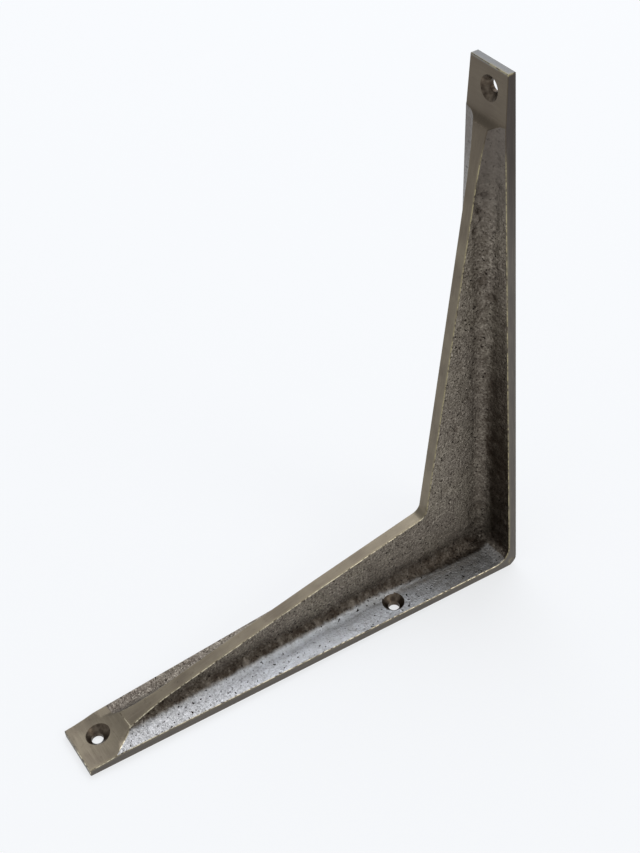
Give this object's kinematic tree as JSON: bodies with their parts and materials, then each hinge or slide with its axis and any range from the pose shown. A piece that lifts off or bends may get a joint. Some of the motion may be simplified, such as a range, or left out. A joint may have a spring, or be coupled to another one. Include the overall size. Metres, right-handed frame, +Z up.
{
  "type": "shelf bracket",
  "caption": "Cast shelf bracket: two tapering flanges at a right angle, tied by a sloping rib, with ground pads and countersunk screw holes.",
  "frame": {"origin": "the outer corner, where the wall plane meets the shelf plane, at mid-width; the rounded corner itself lies just inside it", "axes": "+Z up along the wall arm, +Y out of the wall arm's flat back (into the wall), -Y along the shelf arm, +X across the width"},
  "size_m": [0.0366, 0.1786, 0.2048],
  "materials": {
    "cast_brass": "antique brown patina; rough as cast on the inner faces, ground satin on the backs, edges, rib edge and pads"
  },
  "bodies": {
    "root": {"bracket": "cast_brass"}
  },
  "joints": []
}
